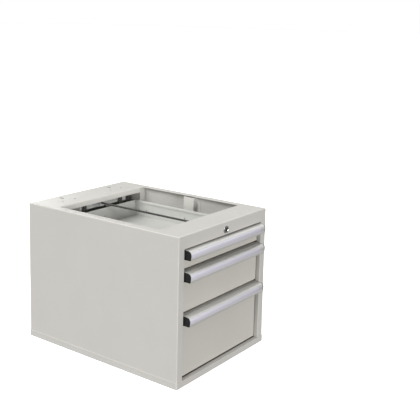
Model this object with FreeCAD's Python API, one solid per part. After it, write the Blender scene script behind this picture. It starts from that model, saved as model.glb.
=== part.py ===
import FreeCAD, Part
import math
import os

# An under-bench drawer cabinet in folded, painted sheet steel. Three drawers run on telescopic
# slides, and a central lock turns a long rod that shifts a locking bar behind them.
# X runs across the cabinet, Y from its front to its back, Z up. The origin is the middle of the
# underside. All sizes are in millimetres.

os.makedirs("parts", exist_ok=True)

# Casing
CASE_W = 420.0                # over the two side panels
CASE_D = 570.0                # front flange to rear flange
SHEET = 1.5                   # casing sheet
FLANGE = 25.0                 # inward flanges of the side panels
FOLD_R = 2.5                  # outer radius of a fold
JAMB_D = 13.0                 # return beside and above the drawer fronts
RIM_H = 18.0                  # rim of the bottom tray, which stands outside the casing
LEDGE_FOLD = 9.0              # stiffening fold at the back of the front ledge
BACK_SHEET = 1.2
BACK_CLEAR = 1.0              # back panel to the side panels' walls
FRONT_RAIL_H = 38.0           # face of the front top rail
FRONT_RAIL_D = 84.5
REAR_RAIL_D = 107.0
RAIL_FOLD = 16.0              # inner down-fold of both top rails
RAIL_SKIRT = 20.0             # rear down-fold of the rear rail
RAIL_NOTCH = 12.0             # gap at each end of the rear rail's inner fold

# Bench fixings in the top rails
SLOT_X = 105.0                # slot centres, each side of the middle
SLOT_W = 9.0
SLOT_L = 19.0
SLOT_EDGE = 28.5              # from the cabinet's front or back to the slots' centres
PAIR_GAP = 50.0               # small holes, in pairs about each rear slot
PAIR_D = 6.6
PAIR_EDGE = 60.5
PLUG_LIP = 1.6                # hidden lip of the plugs in the front rail
PLUG_LIP_T = 1.8
PLUG_SINK = 0.2               # plugs below the bench face

# Uprights that carry the slides
POST_W = 40.0
POST_FOOT = 12.0
POST_FRONT = 27.0             # first upright's middle behind the slides' front ends
POST_BACK = 14.0              # last upright's middle ahead of the fixed members' back ends
POST_SHIFT = 2.5              # middle upright ahead of the halfway point
POST_TOP_GAP = 3.5            # below the top flange

# Drawers, from the floor up, each so many steps high
FRONT_STEP_H = 60.0
DRAWERS = [("bottom", 3), ("middle", 2), ("top", 1)]
FRONT_RECESS = 12.0           # drawer fronts behind the casing's front
FRONT_SIDE_GAP = 2.0
FRONT_TOP_GAP = 3.0
FRONT_FOOT_GAP = 2.5
FRONT_D = 14.0                # depth of the folded front
FRONT_SHEET = 1.2
FRONT_FOLD_R = 1.8
TRAY_SHEET = 1.0
TRAY_FOOT_GAP = 2.5
TRAY_TOP_GAP = 5.0
TRAY_HEM = 4.5                # hem along the tops of the side walls
TRAY_HEM_FOLD = 7.0
REAR_SPACE = 88.0             # behind the trays, for the locking bar

# Telescopic slides
SLIDE_H = 45.0
SLIDE_T = 12.7
SLIDE_SHEET = 1.2
SLIDE_RUN = 0.3               # running gap between members
SLIDE_WEB_GAP = 1.3           # between the webs of the fixed and the floating member
SLIDE_LIP_GAP = 0.6           # flange tips to the next web
SLIDE_END = 3.0               # slide behind the tray's front, and short of its back
SLIDE_TAIL = 28.0             # the fixed member runs on to the last upright
HOOK_W = 2.2                  # slit that each slide's hook is pushed through
HOOK_H = 7.0
HOOK_COUNT = 3
HOOK_PITCH = 159.0
HOOK_END = 48.0               # last slit from the tray's back

# Handle, an extruded profile along the top of each front
GRIP_REACH = 31.5
GRIP_LEAN = 2.6
GRIP_H = 26.0
GRIP_R = 11.5
GRIP_FOOT_R = 2.0
GRIP_INNER_R = 0.3
GRIP_WALL = 1.8
GRIP_BACK_H = 16.0
GRIP_SIDE_GAP = 2.5
CAP_T = 3.5
CAP_INSET = 0.6
CAP_EDGE = 0.6
STRIP_T = 0.8
STRIP_TOP = 4.2               # label channel below the handle's top
STRIP_FOOT = 6.0              # and above its lower edge
STRIP_PLAY = 0.2
STRIP_SHORT = 22.0            # bare channel at the right-hand end

# Screws
SCREW_R = 2.0
SCREW_PLAY = 0.1
HEAD_R = 3.8
HEAD_T = 2.0
HEAD_EDGE = 0.9
SCREW_GRIP = 7.0
BOSS_R = 4.2
FRONT_SCREW_X = (-140.0, -60.0, 60.0, 140.0)
FRONT_SCREW_Z = 26.0          # above the tray's floor
BACK_SCREW_END = 40.0         # end screws from the panel's ends
RAIL_SCREW_X = 90.0

# Central lock
LOCK_DROP = 22.5              # lock axis below the bench face
BEZEL_R = 11.3
BEZEL_T = 2.6
BEZEL_EDGE = 1.0
BARREL_R = 9.5
BARREL_L = 21.0
PLUG_R = 6.0
PLUG_PROUD = 0.4
PLUG_TAIL = 3.0               # plug behind the barrel
RUN_FIT = 0.06                # radial running clearance
KEY_W = 1.8
KEY_H = 8.0
KEY_D = 9.0
NUT_AF = 25.0
NUT_T = 4.0
ROD_R = 3.0
ROD_SEAT = 4.0                # rod let into the plug
CRANK_R = 8.5                 # crank throw
CRANK_HUB_R = 6.0
CRANK_END_R = 3.6
CRANK_T = 2.5
CRANK_GAP = 0.8               # crank in front of the bar
PIN_R = 2.0
PIN_TAIL = 1.0
LOCK_TURN = 90.0              # degrees of key turn
BAR_T = 2.0
BAR_H = 15.0
BAR_LEFT = 80.0               # bar's ends from the middle
BAR_RIGHT = 130.0
BAR_GAP = 7.0                 # trays to the bar
PIN_PLAY = 0.5
LEG_X = 38.0                  # near edge of the bar's leg from the middle
LEG_W = 20.0
LEG_TAIL = 12.0               # leg below the lowest catch's middle
TONGUE_L = 10.0
TONGUE_H = 10.0
GUIDE_X = (-60.0, 102.0)
GUIDE_W = 14.0
GUIDE_WALL = 4.0
GUIDE_PLAY = 0.4
BEARING_T = 2.0
BEARING_W = 20.0
BEARING_FOOT = 14.0
BEARING_EDGE = 6.5            # bracket below the rod
BEARING_Y = 8.0               # bracket behind the rear rail's inner fold
CATCH_T = 2.0
CATCH_H = 14.0
CATCH_Z = 22.5                # middle of the catch above the tray's underside
CATCH_BASE = 22.0
CATCH_GAP = 2.0               # bar to the catch's lip
CATCH_SIDE = 3.0              # tongue to the lip when unlocked
CATCH_ARM_GAP = 1.0           # tongue to the arm when locked

# Planes that several pieces share
CASE_H = RIM_H + FRONT_STEP_H * sum(units for name, units in DRAWERS) + FRONT_RAIL_H
FRONT_Y = -CASE_D / 2
BACK_Y = CASE_D / 2
SIDE_X = CASE_W / 2
OPEN_X = SIDE_X - FLANGE                      # jambs, post faces and rail ends
TOP_UNDER = CASE_H - SHEET
FACE_Y = FRONT_Y + FRONT_RECESS               # drawer fronts' faces
TRAY_Y0 = FACE_Y + FRONT_D
TRAY_Y1 = BACK_Y - REAR_SPACE
TRAY_X = OPEN_X - SLIDE_T
SLIDE_Y0 = TRAY_Y0 + SLIDE_END
SLIDE_Y1 = TRAY_Y1 - SLIDE_END
REAR_FOLD_Y = BACK_Y - REAR_RAIL_D
LOCK_Z = CASE_H - LOCK_DROP
BAR_Y0 = TRAY_Y1 + BAR_GAP
BAR_Y1 = BAR_Y0 + BAR_T
THROW_ANGLE = math.radians(LOCK_TURN / 2)
PIN_X = CRANK_R * math.sin(THROW_ANGLE)       # crank pin at rest, from the lock axis
PIN_Z = LOCK_Z - CRANK_R * math.cos(THROW_ANGLE)
BAR_TRAVEL = 2 * PIN_X
SLOT_TOP = PIN_Z + PIN_R + PIN_PLAY
SLOT_FOOT = LOCK_Z - CRANK_R - PIN_R - PIN_PLAY
BAR_Z0 = (SLOT_TOP + SLOT_FOOT - BAR_H) / 2
BAR_Z1 = BAR_Z0 + BAR_H
CATCH_X = LEG_X - TONGUE_L - BAR_TRAVEL - CATCH_ARM_GAP - CATCH_T


# ---- Shared shape helpers ----

def box(x0, x1, y0, y1, z0, z1):
    """A block between two corners."""
    return Part.makeBox(x1 - x0, y1 - y0, z1 - z0, FreeCAD.Vector(x0, y0, z0))


def rod_y(x, z, radius, y0, y1):
    """A round bar along Y."""
    return Part.makeCylinder(radius, y1 - y0, FreeCAD.Vector(x, y0, z), FreeCAD.Vector(0, 1, 0))


def rod_z(x, y, radius, z0, z1):
    """A round bar along Z."""
    return Part.makeCylinder(radius, z1 - z0, FreeCAD.Vector(x, y, z0))


def fuse(shapes):
    """One solid out of several that touch or overlap."""
    joined = shapes[0].multiFuse(shapes[1:])
    return joined.removeSplitter()


def mirror_x(shape):
    """The left-hand twin of a right-hand piece."""
    return shape.mirror(FreeCAD.Vector(0, 0, 0), FreeCAD.Vector(1, 0, 0))


def in_plane(plane, u, v, w):
    """A point from two in-plane coordinates and the one along the plane's normal."""
    order = {"XY": (u, v, w), "XZ": (u, w, v), "YZ": (w, u, v)}
    return FreeCAD.Vector(*order[plane])


def offset_path(points, distance, closed=False):
    """The polyline moved to its left by a distance, corner to corner."""
    count = len(points)
    legs = []
    for i in range(count if closed else count - 1):
        (u0, v0), (u1, v1) = points[i], points[(i + 1) % count]
        length = math.hypot(u1 - u0, v1 - v0)
        du, dv = (u1 - u0) / length, (v1 - v0) / length
        legs.append((u0 - dv * distance, v0 + du * distance, du, dv, length))
    moved = []
    if not closed:
        moved.append((legs[0][0], legs[0][1]))
    for i in range(0 if closed else 1, len(legs)):
        ua, va, dua, dva, length = legs[i - 1]
        ub, vb, dub, dvb, length = legs[i]
        cross = dua * dvb - dva * dub
        step = ((ub - ua) * dvb - (vb - va) * dub) / cross
        moved.append((ua + dua * step, va + dva * step))
    if not closed:
        u, v, du, dv, length = legs[-1]
        moved.append((u + du * length, v + dv * length))
    return moved


def rounded_edges(points, radii, plane, w, closed=False):
    """Lines through the points with a tangent arc of the given radius at each corner."""
    count = len(points)
    entries = []
    for i, (u, v) in enumerate(points):
        radius = radii[i]
        is_end = not closed and i in (0, count - 1)
        if is_end or radius <= 0:
            entries.append(((u, v), None, (u, v)))
            continue
        up, vp = points[i - 1]
        un, vn = points[(i + 1) % count]
        to_last, to_next = math.hypot(up - u, vp - v), math.hypot(un - u, vn - v)
        a = ((up - u) / to_last, (vp - v) / to_last)
        b = ((un - u) / to_next, (vn - v) / to_next)
        half = math.acos(max(-1.0, min(1.0, a[0] * b[0] + a[1] * b[1]))) / 2
        reach = radius / math.tan(half)
        bisector = (a[0] + b[0], a[1] + b[1])
        size = math.hypot(*bisector)
        gap = radius / math.sin(half) - radius
        middle = (u + bisector[0] / size * gap, v + bisector[1] / size * gap)
        start = (u + a[0] * reach, v + a[1] * reach)
        end = (u + b[0] * reach, v + b[1] * reach)
        entries.append((start, middle, end))
    edges = []
    for i, (start, middle, end) in enumerate(entries):
        if middle is not None:
            arc = Part.Arc(in_plane(plane, *start, w), in_plane(plane, *middle, w),
                           in_plane(plane, *end, w))
            edges.append(arc.toShape())
        if closed or i < count - 1:
            following = entries[(i + 1) % count][0]
            edges.append(Part.makeLine(in_plane(plane, *end, w), in_plane(plane, *following, w)))
    return edges


def extrude(edges, plane, length):
    """A solid from a closed outline, pushed along the plane's normal."""
    face = Part.Face(Part.Wire(edges))
    return face.extrude(in_plane(plane, 0, 0, length))


def profile(points, radii, plane, w0, w1):
    """A bar whose section is a closed outline with rounded corners."""
    return extrude(rounded_edges(points, radii, plane, w0, closed=True), plane, w1 - w0)


def folded(points, sheet, inner_r, plane, w0, w1):
    """Folded sheet: the path is one skin, and the thickness lies to its left."""
    other = offset_path(points, sheet)
    here, there = [0.0], [0.0]
    for i in range(1, len(points) - 1):
        (u0, v0), (u1, v1), (u2, v2) = points[i - 1], points[i], points[i + 1]
        left_turn = (u1 - u0) * (v2 - v1) - (v1 - v0) * (u2 - u1) > 0
        here.append(inner_r + sheet if left_turn else inner_r)
        there.append(inner_r if left_turn else inner_r + sheet)
    here.append(0.0)
    there.append(0.0)
    edges = rounded_edges(points, here, plane, w0)
    edges.append(Part.makeLine(in_plane(plane, *points[-1], w0), in_plane(plane, *other[-1], w0)))
    edges += rounded_edges(other[::-1], there[::-1], plane, w0)
    edges.append(Part.makeLine(in_plane(plane, *other[0], w0), in_plane(plane, *points[0], w0)))
    return extrude(edges, plane, w1 - w0)


def near(a, b):
    """Two coordinates that are the same."""
    return abs(a - b) < 0.01


def round_folds(shape, radius, folds):
    """Round the edges that lie in all the planes of one of the folds, given as (axis, place)."""
    chosen = []
    for edge in shape.Edges:
        ends = [vertex.Point for vertex in edge.Vertexes]
        for planes in folds:
            if all(near(getattr(p, axis), place) for p in ends for axis, place in planes):
                chosen.append(edge)
    return shape.makeFillet(radius, chosen)


def upright_edges(block):
    """The four upright edges of a block."""
    return [e for e in block.Edges if near(e.Vertexes[0].X, e.Vertexes[1].X)
            and near(e.Vertexes[0].Y, e.Vertexes[1].Y)]


def round_rim(disc, y, radius):
    """Round the rim of a disc's face that looks along Y."""
    rim = [e for e in disc.Edges if len(e.Vertexes) == 1 and near(e.Vertexes[0].Y, y)]
    return disc.makeFillet(radius, rim)


def slot_z(x, y, width, length, z0, z1):
    """A round-ended block along Y, standing on Z."""
    half = (length - width) / 2
    ends = [rod_z(x, y - half, width / 2, z0, z1), rod_z(x, y + half, width / 2, z0, z1)]
    return fuse([box(x - width / 2, x + width / 2, y - half, y + half, z0, z1)] + ends)


def save(node, solids):
    """Write a node, which holds one solid or a group of like ones."""
    shape = solids[0] if len(solids) == 1 else Part.makeCompound(solids)
    shape.exportStep("parts/" + node + ".step")


# ---- Casing ----

def side_panel():
    """Right-hand panel: one folded sheet with flanges at the front, top and back."""
    wall, front, back, top = ("x", SIDE_X), ("y", FRONT_Y), ("y", BACK_Y), ("z", CASE_H)
    outer = box(OPEN_X, SIDE_X, FRONT_Y, BACK_Y, SHEET, CASE_H)
    folds = [(wall, front), (wall, back), (wall, top), (front, top), (back, top)]
    outer = round_folds(outer, FOLD_R, folds)
    inner = box(OPEN_X - SHEET, SIDE_X - SHEET, FRONT_Y + SHEET, BACK_Y - SHEET, 0, TOP_UNDER)
    jamb = box(OPEN_X, OPEN_X + SHEET, FRONT_Y + SHEET, FRONT_Y + JAMB_D, SHEET, TOP_UNDER)
    corner = box(OPEN_X, OPEN_X + FOLD_R, FRONT_Y, FRONT_Y + FOLD_R, RIM_H, CASE_H - FRONT_RAIL_H)
    corner = corner.cut(rod_z(OPEN_X + FOLD_R, FRONT_Y + FOLD_R, FOLD_R, RIM_H, CASE_H))
    panel = fuse([outer.cut(inner), jamb]).cut(corner)
    for z in back_screw_heights():
        panel = panel.cut(rod_y(back_screw_x(), z, SCREW_R + SCREW_PLAY,
                                BACK_Y - 2 * SHEET, BACK_Y + SHEET))
    return panel


def bottom_tray():
    """Shallow tray that the casing stands in, with a ledge under the lowest drawer front."""
    rim_x, rim_y0, rim_y1 = SIDE_X + SHEET, FRONT_Y - SHEET, BACK_Y + SHEET
    outer = box(-rim_x, rim_x, rim_y0, rim_y1, 0, RIM_H)
    outer = outer.makeFillet(FOLD_R + SHEET, upright_edges(outer))
    outer = round_folds(outer, SHEET, [[("z", 0.0)]])
    inner = box(-SIDE_X, SIDE_X, FRONT_Y, BACK_Y, SHEET, RIM_H + SHEET)
    inner = inner.makeFillet(FOLD_R, upright_edges(inner))
    ledge_y = FRONT_Y + JAMB_D
    ledge = folded([(ledge_y, RIM_H - LEDGE_FOLD), (ledge_y, RIM_H), (FRONT_Y, RIM_H)],
                   SHEET, FOLD_R - SHEET, "YZ", -OPEN_X, OPEN_X)
    return fuse([outer.cut(inner), ledge])


def front_top_rail():
    """Face, top and two returns of the rail over the drawers, with the lock's hole."""
    back = FRONT_Y + FRONT_RAIL_D
    foot = CASE_H - FRONT_RAIL_H
    rail = folded([(back, CASE_H - RAIL_FOLD), (back, CASE_H), (FRONT_Y, CASE_H), (FRONT_Y, foot),
                   (FRONT_Y + JAMB_D, foot)], SHEET, FOLD_R - SHEET, "YZ", -OPEN_X, OPEN_X)
    rail = rail.cut(rod_y(0, LOCK_Z, BARREL_R + SCREW_PLAY, FRONT_Y - SHEET, FRONT_Y + 2 * SHEET))
    for cutter in front_fixings(0.0, TOP_UNDER - SHEET, CASE_H + SHEET):
        rail = rail.cut(cutter)
    return rail


def front_fixings(shrink, z0, z1):
    """The front rail's two slots and two holes, or what fills them."""
    shapes = []
    for side in (-1, 1):
        shapes.append(slot_z(side * SLOT_X, FRONT_Y + SLOT_EDGE, SLOT_W - 2 * shrink,
                             SLOT_L - 2 * shrink, z0, z1))
        shapes.append(rod_z(side * (SLOT_X + PAIR_GAP / 2), FRONT_Y + PAIR_EDGE,
                            PAIR_D / 2 - shrink, z0, z1))
    return shapes


def rail_plugs():
    """Plastic plugs that close the front rail's fixings, each held by a lip under the sheet."""
    stems = front_fixings(SCREW_PLAY, TOP_UNDER - PLUG_LIP_T, CASE_H - PLUG_SINK)
    lips = front_fixings(-PLUG_LIP, TOP_UNDER - PLUG_LIP_T, TOP_UNDER)
    return [fuse([stem, lip]) for stem, lip in zip(stems, lips)]


def rear_top_rail():
    """Wide rail at the back of the top frame, slotted for the bench's screws."""
    rail = folded([(BACK_Y, CASE_H - RAIL_SKIRT), (BACK_Y, CASE_H), (REAR_FOLD_Y, CASE_H),
                   (REAR_FOLD_Y, CASE_H - RAIL_FOLD)], SHEET, FOLD_R - SHEET, "YZ", -OPEN_X, OPEN_X)
    cutters = []
    for side in (-1, 1):
        x = side * SLOT_X
        cutters.append(slot_z(x, BACK_Y - SLOT_EDGE, SLOT_W, SLOT_L, TOP_UNDER - SHEET, CASE_H + SHEET))
        for step in (-PAIR_GAP / 2, PAIR_GAP / 2):
            cutters.append(rod_z(x + step, BACK_Y - PAIR_EDGE, PAIR_D / 2,
                                 TOP_UNDER - SHEET, CASE_H + SHEET))
        cutters.append(rod_y(side * RAIL_SCREW_X, rail_screw_z(), SCREW_R + SCREW_PLAY,
                             BACK_Y - 2 * SHEET, BACK_Y + SHEET))
        end = sorted((side * (OPEN_X - RAIL_NOTCH), side * (OPEN_X + SHEET)))
        cutters.append(box(end[0], end[1], REAR_FOLD_Y - SHEET, REAR_FOLD_Y + FOLD_R,
                           CASE_H - RAIL_FOLD - SHEET, CASE_H - FOLD_R))
    for cutter in cutters:
        rail = rail.cut(cutter)
    return rail


def back_screw_x():
    return SIDE_X - FLANGE / 2


def back_screw_heights():
    low, high = RIM_H + BACK_SCREW_END / 2, CASE_H - BACK_SCREW_END
    return (low, (low + high) / 2, high)


def rail_screw_z():
    return CASE_H - RAIL_SKIRT / 2


def back_screw_places():
    places = [(side * back_screw_x(), z) for side in (-1, 1) for z in back_screw_heights()]
    return places + [(side * RAIL_SCREW_X, rail_screw_z()) for side in (-1, 1)]


def back_panel():
    """Flat panel behind the rear flanges, held by screws."""
    half = SIDE_X - SHEET - BACK_CLEAR
    outer_y = BACK_Y - SHEET
    panel = box(-half, half, outer_y - BACK_SHEET, outer_y, SHEET, TOP_UNDER - BACK_CLEAR)
    for x, z in back_screw_places():
        panel = panel.cut(rod_y(x, z, SCREW_R + SCREW_PLAY, outer_y - 2 * BACK_SHEET, outer_y + SHEET))
    return panel


def screw(x, z, seat_y, into):
    """Pan-head screw along Y: into is +1 if the shank runs towards +Y, else -1."""
    shank = sorted((seat_y, seat_y + into * SCREW_GRIP))
    head = sorted((seat_y, seat_y - into * HEAD_T))
    pan = round_rim(rod_y(x, z, HEAD_R, head[0], head[1]), seat_y - into * HEAD_T, HEAD_EDGE)
    return fuse([rod_y(x, z, SCREW_R, shank[0], shank[1]), pan])


def slide_posts():
    """Right-hand uprights: hat sections welded to the side panel's wall by their feet."""
    wall_x = SIDE_X - SHEET
    posts = []
    first, last = SLIDE_Y0 + POST_FRONT, SLIDE_Y1 + SLIDE_TAIL - POST_BACK
    for y in (first, (first + last) / 2 - POST_SHIFT, last):
        near_y, far_y = y - POST_W / 2 + SHEET, y + POST_W / 2 - SHEET
        path = [(wall_x, near_y - POST_FOOT), (wall_x, near_y), (OPEN_X + SHEET, near_y),
                (OPEN_X + SHEET, far_y), (wall_x, far_y), (wall_x, far_y + POST_FOOT)]
        posts.append(folded(path, SHEET, FOLD_R - SHEET, "XY", SHEET, TOP_UNDER - POST_TOP_GAP))
    return posts


# ---- Slides ----

def slide_member(kind, z):
    """Right-hand channel of a slide: the fixed, floating or drawer member."""
    lip = OPEN_X - SLIDE_T + SLIDE_SHEET + SLIDE_LIP_GAP
    half, end = SLIDE_H / 2, SLIDE_Y1
    if kind == "fixed":
        web, tip, end = OPEN_X, lip, SLIDE_Y1 + SLIDE_TAIL
    elif kind == "floating":
        web, tip = OPEN_X - SLIDE_SHEET - SLIDE_WEB_GAP, lip
        half -= SLIDE_SHEET + SLIDE_RUN
    else:
        web, tip = TRAY_X, OPEN_X - 2 * SLIDE_SHEET - SLIDE_WEB_GAP - SLIDE_LIP_GAP
        half -= 2 * (SLIDE_SHEET + SLIDE_RUN)
    path = [(tip, z - half), (web, z - half), (web, z + half), (tip, z + half)]
    if kind == "drawer":
        path.reverse()
    return folded(path, SLIDE_SHEET, SLIDE_SHEET / 2, "XZ", SLIDE_Y0, end)


# ---- Drawers ----

def hook_places():
    """Slits for the slides' hooks, along the tray."""
    last = TRAY_Y1 - HOOK_END
    return [last - HOOK_PITCH * step for step in range(HOOK_COUNT)]


def drawer_front(low, high):
    """Folded front with four returns, and the bosses that its screws go into."""
    half = OPEN_X - FRONT_SIDE_GAP
    z0, z1 = low + FRONT_FOOT_GAP, high - FRONT_TOP_GAP
    outer = box(-half, half, FACE_Y, TRAY_Y0, z0, z1)
    outer = round_folds(outer, FRONT_FOLD_R, [[("y", FACE_Y)]])
    inner = box(-half + FRONT_SHEET, half - FRONT_SHEET, FACE_Y + FRONT_SHEET, TRAY_Y0 + SHEET,
                z0 + FRONT_SHEET, z1 - FRONT_SHEET)
    pieces = [outer.cut(inner)]
    z = front_screw_z(low)
    pieces += [rod_y(x, z, BOSS_R, FACE_Y + FRONT_SHEET / 2, TRAY_Y0) for x in FRONT_SCREW_X]
    front = fuse(pieces)
    for x in FRONT_SCREW_X:
        front = front.cut(rod_y(x, z, SCREW_R + SCREW_PLAY, TRAY_Y0 - SCREW_GRIP, TRAY_Y0 + SHEET))
    return front


def front_screw_z(low):
    return low + TRAY_FOOT_GAP + FRONT_SCREW_Z


def drawer_tray(low, high):
    """Floor and hemmed sides of the tray, in one folded sheet."""
    z0, z1 = low + TRAY_FOOT_GAP, high - TRAY_TOP_GAP
    hem_x, hem_z = TRAY_X - TRAY_HEM, z1 - TRAY_HEM_FOLD
    path = [(-hem_x, hem_z), (-hem_x, z1), (-TRAY_X, z1), (-TRAY_X, z0),
            (TRAY_X, z0), (TRAY_X, z1), (hem_x, z1), (hem_x, hem_z)]
    trough = folded(path, TRAY_SHEET, TRAY_SHEET / 2, "XZ", TRAY_Y0, TRAY_Y1)
    return trough.cut(hook_slits(z0))


def tray_ends(low, high, trough):
    """Front and back walls, welded in between the sides and notched round their hems."""
    z0, z1 = low + TRAY_FOOT_GAP, high - TRAY_TOP_GAP - TRAY_SHEET
    front = box(-TRAY_X, TRAY_X, TRAY_Y0, TRAY_Y0 + TRAY_SHEET, z0, z1).cut(trough)
    back = box(-TRAY_X, TRAY_X, TRAY_Y1 - TRAY_SHEET, TRAY_Y1, z0, z1).cut(trough)
    front, back = [max(wall.Solids, key=lambda solid: solid.Volume) for wall in (front, back)]
    for x in FRONT_SCREW_X:
        front = front.cut(rod_y(x, front_screw_z(low), SCREW_R + SCREW_PLAY, TRAY_Y0 - SHEET,
                                TRAY_Y0 + 2 * TRAY_SHEET))
    return [front, back.cut(catch_slit(low))]


def hook_slits(z0):
    """Slits through both sides of a tray and its slide members."""
    z = z0 + SLIDE_H / 2
    reach = TRAY_X + SLIDE_SHEET + SLIDE_RUN
    cutters = []
    for y in hook_places():
        cutters.append(box(-reach, reach, y - HOOK_W / 2, y + HOOK_W / 2, z - HOOK_H / 2, z + HOOK_H / 2))
    return Part.makeCompound(cutters)


def grip_outline(top, inset):
    """Section of the handle, moved inwards: flat top, round nose, leaning front, flat foot."""
    nose, foot = FACE_Y - GRIP_REACH, top - GRIP_H
    corners = [(nose, top), (nose + GRIP_LEAN, foot), (FACE_Y, foot), (FACE_Y, top)]
    radii = [GRIP_R - inset, max(GRIP_FOOT_R - inset, GRIP_INNER_R), 0.0, 0.0]
    return offset_path(corners, inset, closed=True), radii


def grip_solid(top, inset, x0, x1, back=0.0, foot=0.0):
    """The outline as a bar, with its back and foot pushed out by the given amounts."""
    points, radii = grip_outline(top, inset)
    (nose, top_z), (foot_y, foot_z), back_foot, back_top = points
    points = [(nose, top_z), (foot_y, foot_z - foot), (back_foot[0] + back, foot_z - foot),
              (back_top[0] + back, top_z)]
    return profile(points, radii, "YZ", x0, x1)


def label_band(top, play):
    """The stretch of the handle's front that the label channel takes up."""
    x = grip_half() + SHEET
    return box(-x, x, FACE_Y - GRIP_REACH - SHEET, FACE_Y - GRIP_REACH / 2,
               top - GRIP_H + STRIP_FOOT + play, top - STRIP_TOP - play)


def grip_half():
    return OPEN_X - GRIP_SIDE_GAP - CAP_T


def handle(top):
    """Extruded grip, open below for the fingers, with a channel for the label strip."""
    half = grip_half()
    hollow = grip_solid(top, GRIP_WALL, -half - SHEET, half + SHEET, foot=2 * GRIP_WALL)
    bar = grip_solid(top, 0.0, -half, half).cut(hollow)
    bar = bar.cut(box(-half - SHEET, half + SHEET, FACE_Y - 2 * GRIP_WALL, FACE_Y + SHEET,
                      top - GRIP_H - SHEET, top - GRIP_BACK_H))
    core = grip_solid(top, STRIP_T, -half - SHEET, half + SHEET, back=2 * SHEET)
    return bar.cut(label_band(top, 0.0).cut(core))


def label_strip(top):
    """Flexible strip that follows the handle's front and lies in its channel."""
    half = grip_half()
    skin = grip_solid(top, 0.0, -half, half - STRIP_SHORT)
    skin = skin.cut(grip_solid(top, STRIP_T, -half - SHEET, half + SHEET, back=2 * SHEET))
    return skin.common(label_band(top, STRIP_PLAY))


def end_cap(top):
    """Right-hand moulded cap, a little smaller than the profile that it closes."""
    half = grip_half()
    cap = grip_solid(top, CAP_INSET, half, half + CAP_T, back=CAP_INSET)
    return round_folds(cap, CAP_EDGE, [[("x", half + CAP_T)]])


def lock_catch(low):
    """Folded catch on the tray's back: the locking bar's tongue gets in front of its lip."""
    z = low + TRAY_FOOT_GAP + CATCH_Z
    lip_x1 = LEG_X - TONGUE_L - CATCH_SIDE
    lip_y = BAR_Y1 + CATCH_GAP + CATCH_T
    path = [(lip_x1, lip_y), (CATCH_X, lip_y), (CATCH_X, TRAY_Y1), (CATCH_X + CATCH_BASE, TRAY_Y1)]
    catch = folded(path, CATCH_T, CATCH_T / 4, "XY", z - CATCH_H / 2, z + CATCH_H / 2)
    return catch.cut(catch_slit(low))


def catch_slit(low):
    """Slit through the tray's back and the catch, for the catch's tab."""
    x, z = CATCH_X + CATCH_BASE / 2, low + TRAY_FOOT_GAP + CATCH_Z
    return box(x - HOOK_W / 2, x + HOOK_W / 2, TRAY_Y1 - 2 * TRAY_SHEET, TRAY_Y1 + CATCH_T + TRAY_SHEET,
               z - HOOK_H / 2, z + HOOK_H / 2)


# ---- Central lock ----

def lock_barrel():
    """Chrome bezel and barrel, bored for the plug."""
    bezel = rod_y(0, LOCK_Z, BEZEL_R, FRONT_Y - BEZEL_T, FRONT_Y)
    bezel = round_rim(bezel, FRONT_Y - BEZEL_T, BEZEL_EDGE)
    body = rod_y(0, LOCK_Z, BARREL_R, FRONT_Y - BEZEL_T / 2, FRONT_Y + BARREL_L)
    bore = rod_y(0, LOCK_Z, PLUG_R + RUN_FIT, FRONT_Y - 2 * BEZEL_T, FRONT_Y + BARREL_L + SHEET)
    return fuse([bezel, body]).cut(bore)


def lock_nut():
    """Hexagon nut behind the rail's face."""
    radius = NUT_AF / math.sqrt(3)
    corners = [(radius * math.cos(math.radians(60 * i)), LOCK_Z + radius * math.sin(math.radians(60 * i)))
               for i in range(6)]
    y0 = FRONT_Y + SHEET
    nut = profile(corners, [0.0] * 6, "XZ", y0, y0 + NUT_T)
    return nut.cut(rod_y(0, LOCK_Z, BARREL_R + SCREW_PLAY, y0 - SHEET, y0 + 2 * NUT_T))


def plug_back():
    return FRONT_Y + BARREL_L + PLUG_TAIL


def lock_plug():
    """Turning plug with its keyway in front and the rod's seat behind."""
    face = FRONT_Y - BEZEL_T - PLUG_PROUD
    plug = rod_y(0, LOCK_Z, PLUG_R, face, plug_back())
    plug = plug.cut(box(-KEY_W / 2, KEY_W / 2, face - SHEET, face + KEY_D,
                        LOCK_Z - KEY_H / 2, LOCK_Z + KEY_H / 2))
    return plug.cut(rod_y(0, LOCK_Z, ROD_R, plug_back() - ROD_SEAT, plug_back() + SHEET))


def crank_y():
    """Front and back faces of the crank."""
    return BAR_Y0 - CRANK_GAP - CRANK_T, BAR_Y0 - CRANK_GAP


def lock_rod():
    """Long straight rod from the plug to the crank."""
    return rod_y(0, LOCK_Z, ROD_R, plug_back() - ROD_SEAT, crank_y()[1])


def lock_crank():
    """Short arm on the rod's end, with the pin that drives the bar."""
    y0, y1 = crank_y()
    spread = CRANK_HUB_R - CRANK_END_R
    turn = math.asin(spread / CRANK_R)
    corners = []
    for side in (1, -1):
        angle = THROW_ANGLE + side * (math.pi / 2 - turn)
        direction = (math.sin(angle), -math.cos(angle))
        ends = [(0.0, LOCK_Z, CRANK_HUB_R), (PIN_X, PIN_Z, CRANK_END_R)]
        tangent = [(x + direction[0] * r, z + direction[1] * r) for x, z, r in ends]
        corners += tangent if side == 1 else tangent[::-1]
    arm = profile(corners, [0.0] * 4, "XZ", y0, y1)
    hub, end = rod_y(0, LOCK_Z, CRANK_HUB_R, y0, y1), rod_y(PIN_X, PIN_Z, CRANK_END_R, y0, y1)
    pin = rod_y(PIN_X, PIN_Z, PIN_R, y0, BAR_Y1 + PIN_TAIL)
    crank = fuse([arm, hub, end, pin])
    return crank.cut(rod_y(0, LOCK_Z, ROD_R, y0 - SHEET, y1 + SHEET))


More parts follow.
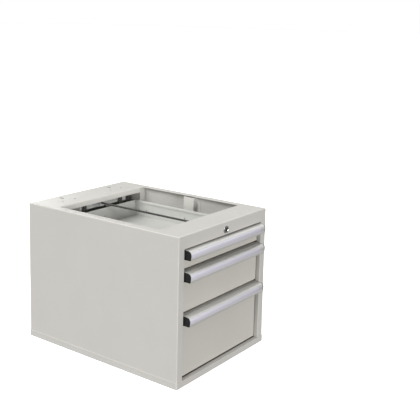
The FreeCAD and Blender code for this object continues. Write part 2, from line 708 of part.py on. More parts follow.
def locking_bar():
    """Flat bar under the rear rail with a leg down past the drawers, and a tongue for each."""
    low, high = BAR_Z0, BAR_Z1
    lowest = min(catch_heights())
    pieces = [box(-BAR_LEFT, BAR_RIGHT, BAR_Y0, BAR_Y1, low, high),
              box(LEG_X, LEG_X + LEG_W, BAR_Y0, BAR_Y1, lowest - LEG_TAIL, high)]
    for z in catch_heights():
        pieces.append(box(LEG_X - TONGUE_L, LEG_X + LEG_W, BAR_Y0, BAR_Y1,
                          z - TONGUE_H / 2, z + TONGUE_H / 2))
    bar = fuse(pieces)
    half = PIN_R + PIN_PLAY
    return bar.cut(box(PIN_X - half, PIN_X + half, BAR_Y0 - BAR_T, BAR_Y1 + BAR_T, SLOT_FOOT, SLOT_TOP))


def drawer_zones():
    """Each drawer's name with the bottom and top of the space that its front fills."""
    zones, low = [], RIM_H
    for name, units in DRAWERS:
        zones.append((name, low, low + units * FRONT_STEP_H))
        low += units * FRONT_STEP_H
    return zones


def catch_heights():
    return [low + TRAY_FOOT_GAP + CATCH_Z for name, low, high in drawer_zones()]


def bar_guides():
    """Moulded blocks hung from the rear rail, which the bar slides through."""
    guides = []
    for x in GUIDE_X:
        block = box(x - GUIDE_W / 2, x + GUIDE_W / 2, BAR_Y0 - GUIDE_WALL, BAR_Y1 + GUIDE_WALL,
                    BAR_Z0 - GUIDE_WALL, TOP_UNDER)
        way = box(x - GUIDE_W, x + GUIDE_W, BAR_Y0 - GUIDE_PLAY, BAR_Y1 + GUIDE_PLAY,
                  BAR_Z0 - GUIDE_PLAY, BAR_Z1 + GUIDE_PLAY)
        guides.append(block.cut(way))
    return guides


def rod_bearing():
    """Angle bracket under the rear rail that carries the rod's far end."""
    y0 = REAR_FOLD_Y + BEARING_Y
    path = [(y0 + BEARING_FOOT, TOP_UNDER), (y0, TOP_UNDER), (y0, LOCK_Z - ROD_R - BEARING_EDGE)]
    bracket = folded(path, BEARING_T, BEARING_T / 2, "YZ", -BEARING_W / 2, BEARING_W / 2)
    return bracket.cut(rod_y(0, LOCK_Z, ROD_R + RUN_FIT, y0 - BEARING_T, y0 + 2 * BEARING_T))


# ---- Write every node ----

right_panel = side_panel()
save("side_panel_right", [right_panel])
save("side_panel_left", [mirror_x(right_panel)])
save("bottom_tray", [bottom_tray()])
save("back_panel", [back_panel()])
save("front_top_rail", [front_top_rail()])
save("rear_top_rail", [rear_top_rail()])
save("rail_plugs", rail_plugs())
save("back_screws", [screw(x, z, BACK_Y, -1) for x, z in back_screw_places()])
posts = slide_posts()
save("slide_posts_right", posts)
save("slide_posts_left", [mirror_x(post) for post in posts])

save("lock_barrel", [lock_barrel()])
save("lock_nut", [lock_nut()])
save("lock_plug", [lock_plug()])
save("lock_rod", [lock_rod()])
save("lock_crank", [lock_crank()])
save("locking_bar", [locking_bar()])
save("bar_guides", bar_guides())
save("rod_bearing", [rod_bearing()])

for name, low, high in drawer_zones():
    grip_top = high - FRONT_TOP_GAP
    slide_z = low + TRAY_FOOT_GAP + SLIDE_H / 2
    slits = hook_slits(low + TRAY_FOOT_GAP)
    members = {"outer": slide_member("fixed", slide_z), "floating": slide_member("floating", slide_z),
               "inner": slide_member("drawer", slide_z).cut(slits)}
    for place, member in members.items():
        save(place + "_slide_" + name + "_right", [member])
        save(place + "_slide_" + name + "_left", [mirror_x(member)])
    save("drawer_front_" + name, [drawer_front(low, high)])
    trough = drawer_tray(low, high)
    save("drawer_tray_" + name, [trough])
    save("tray_ends_" + name, tray_ends(low, high, trough))
    save("front_screws_" + name, [screw(x, front_screw_z(low), TRAY_Y0 + TRAY_SHEET, -1)
                                  for x in FRONT_SCREW_X])
    save("handle_" + name, [handle(grip_top)])
    save("label_strip_" + name, [label_strip(grip_top)])
    cap = end_cap(grip_top)
    save("end_caps_" + name, [mirror_x(cap), cap])
    save("lock_catch_" + name, [lock_catch(low)])
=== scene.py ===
import math
import bpy
import numpy as np
from mathutils import Matrix, Vector


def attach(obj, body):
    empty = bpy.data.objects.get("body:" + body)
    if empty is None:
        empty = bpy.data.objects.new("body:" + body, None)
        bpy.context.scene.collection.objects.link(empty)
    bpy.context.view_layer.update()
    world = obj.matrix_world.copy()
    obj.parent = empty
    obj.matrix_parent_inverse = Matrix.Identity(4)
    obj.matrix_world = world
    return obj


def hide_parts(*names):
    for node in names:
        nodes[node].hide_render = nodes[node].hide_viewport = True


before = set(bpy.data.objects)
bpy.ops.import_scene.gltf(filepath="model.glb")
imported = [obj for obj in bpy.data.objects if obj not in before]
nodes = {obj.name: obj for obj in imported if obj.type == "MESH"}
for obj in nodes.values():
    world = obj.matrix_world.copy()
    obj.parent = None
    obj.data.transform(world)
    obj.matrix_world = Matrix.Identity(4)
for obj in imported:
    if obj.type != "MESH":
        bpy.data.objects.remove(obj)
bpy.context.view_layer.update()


# ---- Casing ----
# The carcass is folded from 1.5 mm steel sheet, spot-welded and powder coated as one in a warm
# light grey. Side panels, bottom tray, back panel, top rails and uprights share the coat.

def finish(name, colour, roughness, metallic=0.0, specular=0.5):
    """A new material, its node tree and its shader, with the even values set on the shader."""
    material = bpy.data.materials.new(name)
    material.use_nodes = True
    tree = material.node_tree
    shader = tree.nodes["Principled BSDF"]
    shader.inputs["Base Color"].default_value = (*colour, 1.0)
    shader.inputs["Roughness"].default_value = roughness
    shader.inputs["Metallic"].default_value = metallic
    shader.inputs["Specular IOR Level"].default_value = specular
    material.diffuse_color = (*colour, 1.0)
    return material, tree, shader


def grain(tree, size, stretch=(1.0, 1.0, 1.0), detail=2.0):
    """Noise on object coordinates: its grain is size metres, drawn out by stretch along each axis."""
    place = tree.nodes.new("ShaderNodeTexCoord")
    scale = tree.nodes.new("ShaderNodeMapping")
    scale.inputs["Scale"].default_value = tuple(1.0 / (size * s) for s in stretch)
    noise = tree.nodes.new("ShaderNodeTexNoise")
    noise.inputs["Scale"].default_value = 1.0
    noise.inputs["Detail"].default_value = detail
    tree.links.new(place.outputs["Object"], scale.inputs["Vector"])
    tree.links.new(scale.outputs["Vector"], noise.inputs["Vector"])
    return noise.outputs["Fac"]


def carried(tree, value, low, high):
    """The noise's usual reach of 0.3 to 0.7 carried onto low to high."""
    carry = tree.nodes.new("ShaderNodeMapRange")
    for socket, number in (("From Min", 0.3), ("From Max", 0.7), ("To Min", low), ("To Max", high)):
        carry.inputs[socket].default_value = number
    tree.links.new(value, carry.inputs["Value"])
    return carry.outputs["Result"]


def clouded(tree, shader, value, light, dark):
    """Base colour that drifts between two near tones with the noise."""
    blend = tree.nodes.new("ShaderNodeMix")
    blend.data_type = "RGBA"
    blend.inputs["A"].default_value = (*light, 1.0)
    blend.inputs["B"].default_value = (*dark, 1.0)
    tree.links.new(carried(tree, value, 0.0, 1.0), blend.inputs["Factor"])
    tree.links.new(blend.outputs["Result"], shader.inputs["Base Color"])


def relief(tree, shader, *layers):
    """Bump layers, each a noise with its height in metres, stacked onto the shader's normal."""
    below = None
    for value, height in layers:
        bump = tree.nodes.new("ShaderNodeBump")
        bump.inputs["Distance"].default_value = height
        tree.links.new(value, bump.inputs["Height"])
        if below is not None:
            tree.links.new(below, bump.inputs["Normal"])
        below = bump.outputs["Normal"]
    tree.links.new(below, shader.inputs["Normal"])


def powder_coat(name, light, dark):
    """Satin powder coat: orange peel of 1.5 mm grain, the sheet's slow swell, and faint clouding."""
    material, tree, shader = finish(name, light, 0.42, specular=0.32)
    clouded(tree, shader, grain(tree, 0.09, detail=3.0), light, dark)
    tree.links.new(carried(tree, grain(tree, 0.012), 0.36, 0.48), shader.inputs["Roughness"])
    relief(tree, shader, (grain(tree, 0.0015, detail=1.0), 0.00003), (grain(tree, 0.12), 0.0004))
    return material


def coat(material, *names):
    """Gives CAD nodes one finish in place of the one they came with."""
    for name in names:
        mesh = nodes[name].data
        mesh.materials.clear()
        mesh.materials.append(material)


casing_paint = powder_coat("casing powder coat", (0.496, 0.484, 0.455), (0.483, 0.471, 0.443))
coat(casing_paint, "side_panel_left", "side_panel_right", "bottom_tray", "back_panel",
     "front_top_rail", "rear_top_rail", "slide_posts_left", "slide_posts_right")


# ---- Rail plugs ----
# Four moulded plugs in the casing's grey close the front rail's slots and holes. Each has a low
# crown, sits just under the sheet's face, and is held from below by a lip.

def lofted(rings, ends="fan"):
    """Skin over rings of points, each joined to the next by quads. Its ends are closed by a fan to
    the ring's middle, by a ribbon across a ring that runs out and back, or the rings make a loop."""
    count, around = rings.shape[:2]
    index = np.arange(count * around).reshape(count, around)
    if ends == "loop":
        index = np.vstack([index, index[:1]])
    turned_on = np.roll(index, -1, axis=1)
    quads = np.stack([index[:-1], turned_on[:-1], turned_on[1:], index[1:]], axis=-1).reshape(-1, 4)
    points = rings.reshape(-1, 3)
    if ends == "fan":
        low = np.stack([turned_on[0], index[0], np.full(around, len(points))], axis=-1)
        high = np.stack([index[-1], turned_on[-1], np.full(around, len(points) + 1)], axis=-1)
        points = np.vstack([points, rings[[0, -1]].mean(axis=1)])
        caps = np.vstack([low, high])
        caps = np.hstack([caps, caps[:, :1]])
    elif ends == "ribbon":
        out, back = np.arange(around // 2 - 1), around - 1 - np.arange(around // 2 - 1)
        strip = np.stack([out, back, back - 1, out + 1], axis=-1)
        caps = np.vstack([strip[:, ::-1][:, [3, 2, 1, 0]], (index[-1, 0] + strip)[:, ::-1]])
    else:
        caps = np.zeros((0, 4), int)
    return points, np.vstack([quads, caps])


def piece(name, material, *skins, crease=32.0):
    """One object out of closed skins. Each skin is turned inside out where its volume, the sum of
    its faces' tetrahedra to the origin, comes out negative."""
    all_points, all_faces, start = [], [], 0
    for points, faces in skins:
        a, b, c, d = (points[faces[:, i]] for i in range(4))
        volume = (a * np.cross(b, c)).sum() + (a * np.cross(c, d)).sum()
        all_points.append(points)
        all_faces.append((faces if volume > 0 else faces[:, ::-1]) + start)
        start += len(points)
    faces = [list(dict.fromkeys(face)) for face in np.vstack(all_faces).tolist()]
    mesh = bpy.data.meshes.new(name)
    mesh.from_pydata(np.vstack(all_points).tolist(), [], faces)
    mesh.shade_smooth()
    mesh.set_sharp_from_angle(angle=math.radians(crease))
    mesh.materials.append(material)
    made = bpy.data.objects.new(name, mesh)
    bpy.context.scene.collection.objects.link(made)
    return made


def plug_skin(x, y, width, length, under, top):
    """Stadium rings: the ring's places are a circle of the given radius pulled apart along Y by
    length less width. Radius and height follow the lip, the stem and a cosine crown."""
    lip, lip_thick, slack, crown, edge = 0.0014, 0.0016, 0.0001, 0.00025, 0.0003
    angle = np.linspace(0.0, 2 * np.pi, 64, endpoint=False)
    radius, half = width / 2, (length - width) / 2
    rise = np.linspace(0.0, 1.0, 8)
    radii = np.concatenate([[radius + lip] * 2, [radius] * 2, radius * (1 - 0.99 * rise)])
    heights = np.concatenate([[under - slack - lip_thick, under - slack, under - slack, top - crown - edge],
                              top - crown + crown * np.sin(rise * np.pi / 2)])
    pull = np.where(radii < radius, half * radii / radius, half)
    x_ring = x + radii[:, None] * np.cos(angle)
    y_ring = y + radii[:, None] * np.sin(angle) + pull[:, None] * np.sign(np.sin(angle))
    return lofted(np.stack([x_ring, y_ring, np.broadcast_to(heights[:, None], x_ring.shape)], axis=-1))


plug_plastic, tree, shader = finish("grey plug plastic", (0.47, 0.455, 0.425), 0.5)
clouded(tree, shader, grain(tree, 0.004), (0.475, 0.46, 0.43), (0.455, 0.44, 0.415))
relief(tree, shader, (grain(tree, 0.0006), 0.00002))
sheet_under, sheet_face = 0.4145, 0.4158
slot_x, slot_y, slot_wide, slot_long = 0.105, -0.2565, 0.0088, 0.0188
hole_x, hole_y, hole_wide = 0.130, -0.2245, 0.0064
plug_skins = [plug_skin(side * slot_x, slot_y, slot_wide, slot_long, sheet_under, sheet_face)
              for side in (-1, 1)]
plug_skins += [plug_skin(side * hole_x, hole_y, hole_wide, hole_wide, sheet_under, sheet_face)
               for side in (-1, 1)]
plugs = piece("moulded_rail_plugs", plug_plastic, *plug_skins)
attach(plugs, "casing"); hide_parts("rail_plugs")


# ---- Back screws ----
# Eight zinc-plated pan-head screws with a cross recess hold the back panel in the flanges. They
# are cold headed, so the crown is smooth and the recess has soft edges.

def zinc_plate(name, colour, size, stretch=(1.0, 1.0, 1.0)):
    """Bright zinc: a metal whose tone, gloss and fine relief follow the rolling or tumbling grain."""
    material, tree, shader = finish(name, colour, 0.34, metallic=1.0)
    dark = tuple(0.86 * c for c in colour)
    clouded(tree, shader, grain(tree, size * 6, stretch), colour, dark)
    tree.links.new(carried(tree, grain(tree, size * 3, stretch), 0.28, 0.44), shader.inputs["Roughness"])
    relief(tree, shader, (grain(tree, size, stretch), 0.00002))
    return material


def screw_skin(x, z, seat, out, turn):
    """Screw along Y. Rings of radius r stand at the crown's height, which falls as a fourth power of
    r, less the cross recess: a smooth step in the distance to the nearer of two crossed arms."""
    head, tall, shank, grip, point = 0.0038, 0.0020, 0.0019, 0.0068, 0.0012
    arm_half, arm_reach, deep, wall, run_out = 0.00058, 0.0022, 0.0011, 0.00025, 0.0004
    angle = np.linspace(0.0, 2 * np.pi, 48, endpoint=False) + turn
    r = np.linspace(0.00012, head, 18)[:, None]
    arm = np.minimum(np.abs(r * np.sin(angle - turn)), np.abs(r * np.cos(angle - turn)))
    into = np.clip((arm_half - arm) / wall, 0, 1) * np.clip((arm_reach - r) / run_out, 0, 1)
    height = tall * (1 - 0.55 * (r / head) ** 4) - deep * into
    rows = [(r, height)] + [(np.array([[a]]), np.array([[b]])) for a, b in (
        (head, 0.0002), (head - 0.0002, 0.0), (shank, 0.0), (shank, -grip + 0.0006), (point, -grip))]
    radii = np.vstack([np.broadcast_to(a, (len(a), len(angle))) for a, b in rows])
    place = np.vstack([np.broadcast_to(b, (len(b), len(angle))) for a, b in rows])
    return lofted(np.stack([x + radii * np.cos(angle), seat + out * place,
                            z + radii * np.sin(angle)], axis=-1))


screw_zinc = zinc_plate("tumbled zinc", (0.66, 0.67, 0.68), 0.0008)
flange_x, flange_rows = 0.1975, (0.038, 0.207, 0.376)
rail_x, rail_row = 0.090, 0.406
back_face, turn_each = 0.285, 0.7
screw_spots = [(side * flange_x, z) for side in (-1, 1) for z in flange_rows]
screw_spots += [(side * rail_x, rail_row) for side in (-1, 1)]
back_screws = piece("pan_head_back_screws", screw_zinc,
                    *[screw_skin(x, z, back_face, 1.0, turn_each * i)
                      for i, (x, z) in enumerate(screw_spots)])
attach(back_screws, "casing")
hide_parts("back_screws")


# ---- Telescopic slides ----
# Each side of a drawer has three cold-rolled channels of zinc-plated steel, one inside the other:
# a fixed one on the uprights, a floating one between them and the drawer's own.

slide_zinc = zinc_plate("rolled zinc strip", (0.60, 0.61, 0.62), 0.0006, (1.0, 30.0, 1.0))
for drawer in ("bottom", "middle", "top"):
    for side in ("left", "right"):
        coat(slide_zinc, *["%s_slide_%s_%s" % (member, drawer, side)
                           for member in ("outer", "floating", "inner")])


# ---- Central lock ----
# A chromed die-cast barrel with a bezel goes through the top rail, and a plug with the keyway
# turns in it. A nut holds it from behind.

def turned(profile, x, z, count=96):
    """Rings of a profile of radii and Y places, in millimetres, carried round an axis along Y."""
    radius, along = (np.array(profile).T / 1000.0)[:, :, None]
    angle = np.linspace(0.0, 2 * np.pi, count, endpoint=False)
    return np.stack([x + radius * np.cos(angle), along + 0 * angle, z + radius * np.sin(angle)], axis=-1)


lock_z = 0.3935
chrome, tree, shader = finish("polished chrome", (0.60, 0.60, 0.59), 0.14, metallic=1.0)
tree.links.new(carried(tree, grain(tree, 0.003), 0.10, 0.20), shader.inputs["Roughness"])
relief(tree, shader, (grain(tree, 0.004), 0.00004))
bezel_profile = [
    (6.06, -286.6), (6.3, -287.1), (6.9, -287.2), (7.6, -286.7), (8.8, -286.6), (9.5, -287.2),
    (10.1, -287.55), (10.6, -287.5), (11.0, -287.2), (11.25, -286.6), (11.3, -286.0), (11.3, -285.02),
    (9.5, -285.0), (9.5, -264.4), (9.2, -264.0), (6.06, -264.0)]
bezel = piece("lock_bezel_and_barrel", chrome, lofted(turned(bezel_profile, 0.0, lock_z), "loop"))
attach(bezel, "casing"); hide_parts("lock_barrel")


def keyed_plug(z):
    """Rings round the lock's axis: circles from the rod's seat over the back, sides and bevelled
    face, then the keyway, whose radius at an angle is the nearer of its side and its end."""
    key_half, key_reach, smallest = 0.9, 4.0, 1e-6
    corner = math.atan2(key_reach, key_half)
    angle = np.sort(np.concatenate([np.linspace(0, 2 * np.pi, 96, endpoint=False),
                                    [corner, np.pi - corner, np.pi + corner, 2 * np.pi - corner]]))
    key = np.minimum(key_half / np.maximum(np.abs(np.cos(angle)), smallest),
                     key_reach / np.maximum(np.abs(np.sin(angle)), smallest))
    rows = [(3.0, -265.0), (3.0, -261.0), (5.7, -261.0), (6.0, -261.3), (6.0, -287.3), (5.6, -287.75),
            (key + 0.25, -287.75), (key, -287.5), (key, -279.0)]
    radius = np.stack([np.broadcast_to(r, angle.shape) for r, y in rows]) / 1000
    along = np.array([y for r, y in rows])[:, None] / 1000
    return lofted(np.stack([radius * np.cos(angle), along + 0 * angle,
                            z + radius * np.sin(angle)], axis=-1))


plug_nickel, tree, shader = finish("satin nickel", (0.26, 0.25, 0.23), 0.3, metallic=1.0)
clouded(tree, shader, grain(tree, 0.002, (6.0, 1.0, 1.0)), (0.28, 0.27, 0.25), (0.22, 0.21, 0.19))
relief(tree, shader, (grain(tree, 0.0005, (12.0, 1.0, 1.0)), 0.00002))
plug = piece("lock_plug_with_keyway", plug_nickel, keyed_plug(lock_z))
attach(plug, "lock_rotor"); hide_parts("lock_plug")
coat(screw_zinc, "lock_nut")


# ---- Locking gear ----
# A blackened rod runs from the plug to a crank under the rear rail. The crank shifts a flat bar of
# zinc-plated strip, which slides in two black moulded guides. A bracket carries the rod's end.

gear_zinc = zinc_plate("zinc strip", (0.58, 0.59, 0.59), 0.0010, (12.0, 1.0, 1.0))
coat(gear_zinc, "locking_bar", "lock_crank", "rod_bearing")

rod_black, tree, shader = finish("blackened rod", (0.035, 0.034, 0.030), 0.38, specular=0.6)
clouded(tree, shader, grain(tree, 0.006, (1.0, 8.0, 1.0)), (0.040, 0.038, 0.034), (0.024, 0.023, 0.020))
relief(tree, shader, (grain(tree, 0.0007, (1.0, 20.0, 1.0)), 0.00002))
coat(rod_black, "lock_rod")


def moulded_black(name, tone, roughness, specular):
    """Black plastic with the fine spark grain of its mould and a slight sheen on the high spots."""
    material, tree, shader = finish(name, tone, roughness, specular=specular)
    clouded(tree, shader, grain(tree, 0.008), tone, tuple(1.5 * c for c in tone))
    tree.links.new(carried(tree, grain(tree, 0.0012), roughness - 0.06, roughness + 0.08),
                   shader.inputs["Roughness"])
    relief(tree, shader, (grain(tree, 0.0005, detail=3.0), 0.00005))
    return material


coat(moulded_black("black guide plastic", (0.020, 0.020, 0.020), 0.45, 0.45), "bar_guides")


# ---- Drawers ----
# Folded trays with their end walls, and fronts folded on all four edges, in the casing's powder coat.
# The trays' coat is tinted a touch cooler: a painted cool cast that stands in for the shaded light
# inside the cabinet. Pan-head screws join each front from inside the tray.

front_paint = powder_coat("front powder coat", (0.498, 0.481, 0.441), (0.484, 0.468, 0.431))
# The tray coat's cooler tone is painted light: the cool cast of the shade inside the cabinet.
tray_coat_painted_cool_cast = powder_coat("tray powder coat with painted cool shade cast", (0.492, 0.494, 0.470), (0.480, 0.484, 0.460))
drawer_floors = {"bottom": 0.018, "middle": 0.198, "top": 0.318}
boss_places, boss_height, wall_inside, turn_each = (-0.140, -0.060, 0.060, 0.140), 0.0285, -0.258, 1.1
for drawer, low in drawer_floors.items():
    coat(front_paint, "drawer_front_" + drawer)
    coat(tray_coat_painted_cool_cast, "drawer_tray_" + drawer, "tray_ends_" + drawer)
    coat(gear_zinc, "lock_catch_" + drawer)
    front_screws = piece("pan_head_front_screws_" + drawer, screw_zinc,
                         *[screw_skin(x, low + boss_height, wall_inside, 1.0, turn_each * i)
                           for i, x in enumerate(boss_places)])
    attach(front_screws, "drawer_" + drawer)
    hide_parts("front_screws_" + drawer)


# ---- Handles ----
# Each handle is one length of extruded, natural anodised aluminium: a flat top, a round nose and a
# leaning front with a channel for the label. It is open below for the fingers.

def rounded_line(corners, radii, closed=False, step=0.00035):
    """Even points along runs between corners, each corner eased by an arc tangent to both its runs,
    and the unit direction at every point, from the difference of its neighbours."""
    corners = [np.array(c, float) for c in corners]
    count, dense = len(corners), []
    for i in range(count):
        if not closed and i in (0, count - 1):
            dense.append(corners[i][None])
            continue
        back, on = corners[i - 1] - corners[i], corners[(i + 1) % count] - corners[i]
        back, on = back / np.linalg.norm(back), on / np.linalg.norm(on)
        half = math.acos(float(back @ on)) / 2
        middle = corners[i] + (back + on) / np.linalg.norm(back + on) * radii[i] / math.sin(half)
        start = corners[i] + back * radii[i] / math.tan(half) - middle
        across = corners[i] + on * radii[i] / math.tan(half) - middle
        t = np.linspace(0.0, 1.0, 40)[:, None]
        sweep = math.pi - 2 * half
        arc = (start * np.sin((1 - t) * sweep) + across * np.sin(t * sweep)) / math.sin(sweep)
        dense.append(middle + arc)
    line = np.vstack(dense + ([dense[0][:1]] if closed else []))
    length = np.concatenate([[0.0], np.cumsum(np.linalg.norm(np.diff(line, axis=0), axis=1))])
    at = np.linspace(0.0, length[-1], int(length[-1] / step) + 1)
    points = np.stack([np.interp(at, length, line[:, k]) for k in (0, 1)], axis=-1)
    if closed:
        points, at = points[:-1], at[:-1]
        ahead = np.roll(points, -1, axis=0) - np.roll(points, 1, axis=0)
    else:
        ahead = np.gradient(points, axis=0)
    return points, ahead / np.linalg.norm(ahead, axis=1)[:, None], at


def stepped(at, start, end, ease=0.0003):
    """1 between start and end along the line and 0 outside, with straight slopes ease long."""
    return np.clip(np.minimum(at - start, end - at) / ease + 0.5, 0.0, 1.0)


def ribbon(points, ahead, outer, inner, stations, ease):
    """Wall along a section line in Y and Z: each point goes out and in along its normal by outer and
    inner. Rings stand at the stations in X, drawn in by ease at each for a bevelled end."""
    normal = np.stack([ahead[:, 1], -ahead[:, 0]], axis=-1)
    rings = []
    for x, less in zip(stations, ease):
        out_line = points + normal * (outer - less)[:, None]
        in_line = points - normal * (inner - less)[:, None]
        loop = np.vstack([out_line, in_line[::-1]])
        rings.append(np.column_stack([np.full(len(loop), x), loop]))
    return lofted(np.stack(rings), "ribbon")


FACE, NOSE, LEAN, TALL, HALF = -0.273, -0.3045, 0.0026, 0.026, 0.179
WALL, BACK_LEG, BACK_BEND, NOSE_BEND = 0.0018, 0.016, 0.0011, 0.0106
CHANNEL_TOP, CHANNEL_FOOT, CHANNEL_DEEP = 0.0042, 0.0200, 0.0008


def grip_section(top):
    """Middle line of the handle's wall, from the back leg's foot over the top and nose and down the
    front. Its half thickness tapers as a circle at both ends, and the outside dips in the channel."""
    h = WALL / 2
    back = FACE - h - 0.0001
    corners = [(back, top - BACK_LEG), (back, top - h), (NOSE + h, top - h), (NOSE + LEAN + h, top - TALL)]
    points, ahead, at = rounded_line(corners, [0, BACK_BEND, NOSE_BEND, 0])
    end = np.minimum(np.minimum(at, at[-1] - at), h)
    thick = np.sqrt(np.maximum(h * h - (h - end) ** 2, (0.15 * h) ** 2))
    front = points[:, 0] < NOSE + 0.008
    start = at[front & (points[:, 1] < top - CHANNEL_TOP)][0]
    stop = at[front & (points[:, 1] < top - CHANNEL_FOOT)][0]
    return points, ahead, at, thick, start, stop


anodised, tree, shader = finish("anodised aluminium", (0.56, 0.555, 0.535), 0.32, metallic=0.35)
clouded(tree, shader, grain(tree, 0.003, (120.0, 1.0, 1.0)), (0.575, 0.57, 0.55), (0.54, 0.535, 0.515))
tree.links.new(carried(tree, grain(tree, 0.0012, (200.0, 1.0, 1.0)), 0.28, 0.37),
               shader.inputs["Roughness"])
relief(tree, shader, (grain(tree, 0.0006, (300.0, 1.0, 1.0)), 0.00002))

grip_tops = {"bottom": 0.195, "middle": 0.315, "top": 0.375}
bevel = 0.00015
for drawer, top in grip_tops.items():
    points, ahead, at, thick, start, stop = grip_section(top)
    dip = CHANNEL_DEEP * stepped(at, start, stop)
    drawn_in = np.minimum(bevel, thick / 2)
    handle = piece("extruded_handle_" + drawer, anodised, ribbon(
        points, ahead, thick - dip, thick, [-HALF, -HALF + bevel, HALF - bevel, HALF],
        [drawn_in, 0 * thick, 0 * thick, drawn_in]))
    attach(handle, "drawer_" + drawer)
    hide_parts("handle_" + drawer)


# ---- Label strips ----
# A lilac-white paper label under a clear flexible strip snaps into each handle's channel. It lies
# a little below the rim, stops short on the right, and leaves a shadow line along its foot.

label_film, tree, shader = finish("label under clear film", (0.53, 0.515, 0.575), 0.35)
clouded(tree, shader, grain(tree, 0.05, (4.0, 1.0, 1.0)), (0.535, 0.520, 0.575), (0.515, 0.502, 0.562))
shader.inputs["Coat Weight"].default_value = 0.2
shader.inputs["Coat Roughness"].default_value = 0.15
relief(tree, shader, (grain(tree, 0.03, (3.0, 1.0, 1.0)), 0.0001))

top_gap, foot_gap, half_thick, edge_round = 0.0003, 0.0011, 0.00028, 0.0004
left_gap, right_gap, bevel = 0.0002, 0.0222, 0.0002
for drawer, top in grip_tops.items():
    points, ahead, at, thick, start, stop = grip_section(top)
    lies = (at > start + top_gap) & (at < stop - foot_gap)
    side = np.minimum(at - at[lies][0], at[lies][-1] - at)[lies]
    inward = np.clip(side / edge_round, 0.05, 1.0)
    round_off = half_thick * np.sqrt(inward * (2 - inward))
    middle = WALL / 2 - CHANNEL_DEEP + 0.0003
    ends = [-HALF + left_gap, -HALF + left_gap + bevel, HALF - right_gap - bevel, HALF - right_gap]
    strip = piece("clear_label_strip_" + drawer, label_film, ribbon(
        points[lies], ahead[lies], middle + round_off, round_off - middle, ends,
        [0.3 * round_off, 0 * round_off, 0 * round_off, 0.3 * round_off]))
    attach(strip, "drawer_" + drawer)
    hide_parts("label_strip_" + drawer)


# ---- End caps ----
# A black moulded cap closes each end of a handle. It follows the profile a little inside its rim,
# with a rounded edge and a shallow sunk face.

def cap_skin(top, side):
    """Rings of the handle's outline, closed across its back and foot. Each is drawn in by an inset
    and stands at its own place in X: the wall, a quarter round, a flat rim and a sunk panel."""
    back, rim, edge, thick, sunk, slack = FACE - 0.0002, 0.0006, 0.0008, 0.0035, 0.0003, 0.00002
    corners = [(back, top), (NOSE, top), (NOSE + LEAN, top - TALL), (back, top - TALL)]
    points, ahead, at = rounded_line(corners, [0.0022, 0.0115, 0.0024, 0.0022], closed=True, step=0.0006)
    inward = np.stack([-ahead[:, 1], ahead[:, 0]], axis=-1)
    turn = np.linspace(0.0, np.pi / 2, 6)
    inset = np.concatenate([[rim], rim + edge * (1 - np.cos(turn)), [0.0019, 0.0021]])
    out = np.concatenate([[0.0], thick - edge + edge * np.sin(turn), [thick, thick - sunk]])
    rings = []
    for less, x in zip(inset, out):
        ring = points + inward * less
        rings.append(np.column_stack([np.full(len(ring), side * (HALF + slack + x)), ring]))
    return lofted(np.stack(rings))


cap_plastic = moulded_black("black cap plastic", (0.011, 0.011, 0.011), 0.60, 0.2)
for drawer, top in grip_tops.items():
    caps = piece("moulded_end_caps_" + drawer, cap_plastic, cap_skin(top, -1), cap_skin(top, 1))
    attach(caps, "drawer_" + drawer)
    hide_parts("end_caps_" + drawer)


# ---- Studio ----
# Not part of the cabinet: a plain pale floor that also glows a little, a white room and five soft
# suns. The floor is left out of reflections and of bounced light. The camera's lens is shifted.

floor_mesh = bpy.data.meshes.new("floor")
reach = 60.0
floor_mesh.from_pydata([(-reach, -reach, 0.0), (reach, -reach, 0.0),
                        (reach, reach, 0.0), (-reach, reach, 0.0)], [], [(0, 1, 2, 3)])
floor = bpy.data.objects.new("floor", floor_mesh)
bpy.context.scene.collection.objects.link(floor)
floor_paint, tree, shader = finish("studio floor", (0.90, 0.90, 0.905), 0.8, specular=0.1)
clouded(tree, shader, grain(tree, 1.5), (0.905, 0.905, 0.91), (0.895, 0.895, 0.90))
floor_mesh.materials.append(floor_paint)
floor.visible_diffuse = False
floor.visible_glossy = False
shader.inputs["Emission Color"].default_value = (1.0, 1.0, 1.0, 1.0)
shader.inputs["Emission Strength"].default_value = 0.5

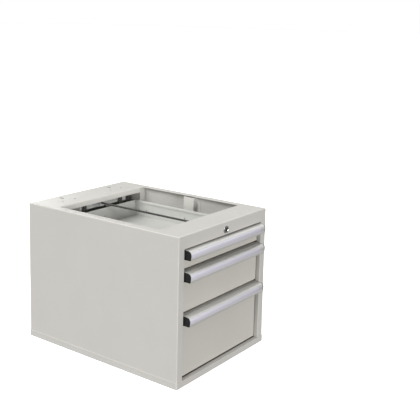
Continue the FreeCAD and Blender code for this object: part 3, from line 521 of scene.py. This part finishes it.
room = bpy.data.worlds.new("white room")
room.use_nodes = True
tree = room.node_tree
background = tree.nodes["Background"]
background.inputs["Color"].default_value = (1.0, 1.0, 1.0, 1.0)
way = tree.nodes.new("ShaderNodeTexCoord")
facing = tree.nodes.new("ShaderNodeVectorMath")
facing.operation = "DOT_PRODUCT"
facing.inputs[1].default_value = (0.0, 0.0, 1.0)
tree.links.new(way.outputs["Generated"], facing.inputs[0])
level = tree.nodes.new("ShaderNodeMapRange")
for socket, number in (("From Min", 0.0), ("From Max", 0.95), ("To Min", 0.16), ("To Max", 0.32)):
    level.inputs[socket].default_value = number
tree.links.new(facing.outputs["Value"], level.inputs["Value"])
seen = tree.nodes.new("ShaderNodeLightPath")
choose = tree.nodes.new("ShaderNodeMix")
choose.inputs["B"].default_value = 1.0
tree.links.new(seen.outputs["Is Camera Ray"], choose.inputs["Factor"])
tree.links.new(level.outputs["Result"], choose.inputs["A"])
tree.links.new(choose.outputs["Result"], background.inputs["Strength"])
bpy.context.scene.world = room
bpy.context.scene.view_settings.view_transform = "Standard"

suns = (("low lamp in front", 2.62, 14, (0.30, 0.83, -0.11)),
        ("lamp on the left", 2.20, 30, (0.85, 0.0, -0.53)),
        ("soft light from above", 1.88, 60, (0.24, -0.30, -0.92)),
        ("fill from behind", 1.90, 20, (-0.55, -0.83, -0.01)),
        ("broad lamp on the right", 0.70, 60, (-0.80, 0.05, -0.60)))
for name, power, spread, way_down in suns:
    lamp = bpy.data.lights.new(name, "SUN")
    lamp.energy, lamp.angle = power, math.radians(spread)
    holder = bpy.data.objects.new(name, lamp)
    holder.rotation_euler = Vector(way_down).to_track_quat("-Z", "Y").to_euler()
    bpy.context.scene.collection.objects.link(holder)

camera_data = bpy.data.cameras.new("camera")
camera_data.lens = 66.492
camera_data.sensor_width = 36.0
camera_data.shift_x = 0.04
camera_data.shift_y = -0.16
camera = bpy.data.objects.new("camera", camera_data)
heading, looks_down, roll = -53.1118, 9.067, 1.1624
camera_place = (-1.7235, -1.4597, 0.9674)
turn = (Matrix.Rotation(math.radians(heading), 3, "Z")
        @ Matrix.Rotation(math.radians(90 - looks_down), 3, "X")
        @ Matrix.Rotation(math.radians(roll), 3, "Z"))
camera.matrix_world = Matrix.Translation(camera_place) @ turn.to_4x4()
bpy.context.scene.collection.objects.link(camera)
bpy.context.scene.camera = camera
